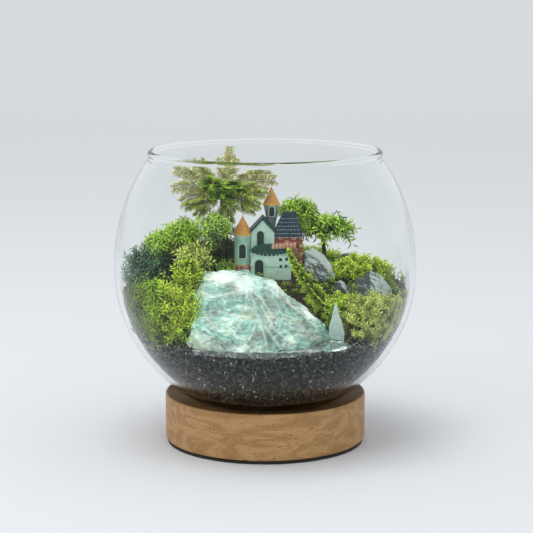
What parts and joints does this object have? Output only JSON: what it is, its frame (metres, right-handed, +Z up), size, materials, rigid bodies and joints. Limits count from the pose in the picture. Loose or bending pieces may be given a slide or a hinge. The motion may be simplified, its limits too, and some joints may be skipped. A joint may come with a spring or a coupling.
{
  "type": "glass plant terrarium",
  "caption": "Round open glass bowl garden on a turned wooden lamp base, with mosses, a lit resin hill, stones, dark gravel and a painted miniature castle.",
  "frame": {"origin": "on the resting surface, under the middle of the round base", "axes": "+Z up through the bowl's mouth, -Y towards the front of the garden with the resin hill, +X to the right as seen from the front"},
  "size_m": [0.1496, 0.1496, 0.1457],
  "materials": {
    "beech": "fine-sanded turned beech, oiled",
    "clear_glass": "clear blown glass, fire-polished lip",
    "frosted_plastic": "frosted acrylic",
    "circuit_board": "white lacquered circuit board",
    "steel": "nickel-plated steel",
    "black_plastic": "black moulded plastic",
    "black_rubber": "matt black rubber",
    "dark_gravel": "dark basalt grit with pale glittering specks",
    "soil": "damp peat",
    "pearl_resin": "pearl and teal cast resin, lit from inside",
    "clear_resin": "clear cast resin",
    "painted_resin": "hand-painted cast resin",
    "grey_stone": "grey-green water-worn stone",
    "green_glass": "pale green slag glass",
    "moss_stem": "thin dark woody stem",
    "tree_moss": "leafy green moss",
    "yellow_moss": "cream and yellow-green moss fronds",
    "lime_moss": "feathery lime-green moss",
    "dark_moss": "dark blue-green moss"
  },
  "bodies": {
    "root": {"arching_frond": "lime_moss", "back_bush_crown": "tree_moss", "back_bush_stem": "moss_stem", "back_stone": "grey_stone", "behind_trunk_moss": "dark_moss", "bottom_plate": "black_plastic", "bush_stem": "moss_stem", "bush_tuft_left": "lime_moss", "bush_tuft_low_left": "lime_moss", "bush_tuft_middle": "lime_moss", "bush_tuft_top": "lime_moss", "castle": "painted_resin", "dark_fern": "dark_moss", "foot_pad": "black_rubber", "glass_bowl": "clear_glass", "glass_bowl_upper": "clear_glass", "glass_shard": "green_glass", "gravel_bed": "dark_gravel", "leaning_slab": "grey_stone", "led_board": "circuit_board", "left_moss": "lime_moss", "light_diffuser": "frosted_plastic", "lime_sprig": "lime_moss", "middle_moss": "lime_moss", "pebble": "grey_stone", "plate_screw_1": "steel", "plate_screw_2": "steel", "plate_screw_3": "steel", "power_socket": "steel", "rear_left_moss": "dark_moss", "rear_moss_mat": "lime_moss", "resin_hill": "pearl_resin", "resin_pool": "clear_resin", "ridge_stone": "grey_stone", "right_front_moss": "tree_moss", "right_rear_moss": "lime_moss", "small_tree_moss_crown": "tree_moss", "small_tree_moss_stem": "moss_stem", "small_tuft": "tree_moss", "soil_bank": "soil", "tree_moss_frond_crown": "yellow_moss", "tree_moss_frond_front": "tree_moss", "tree_moss_frond_hanging": "tree_moss", "tree_moss_frond_left": "yellow_moss", "tree_moss_frond_low_left": "tree_moss", "tree_moss_frond_low_right": "tree_moss", "tree_moss_frond_rear": "tree_moss", "tree_moss_frond_right": "yellow_moss", "tree_moss_stem": "moss_stem", "wood_base": "beech"}
  },
  "joints": []
}
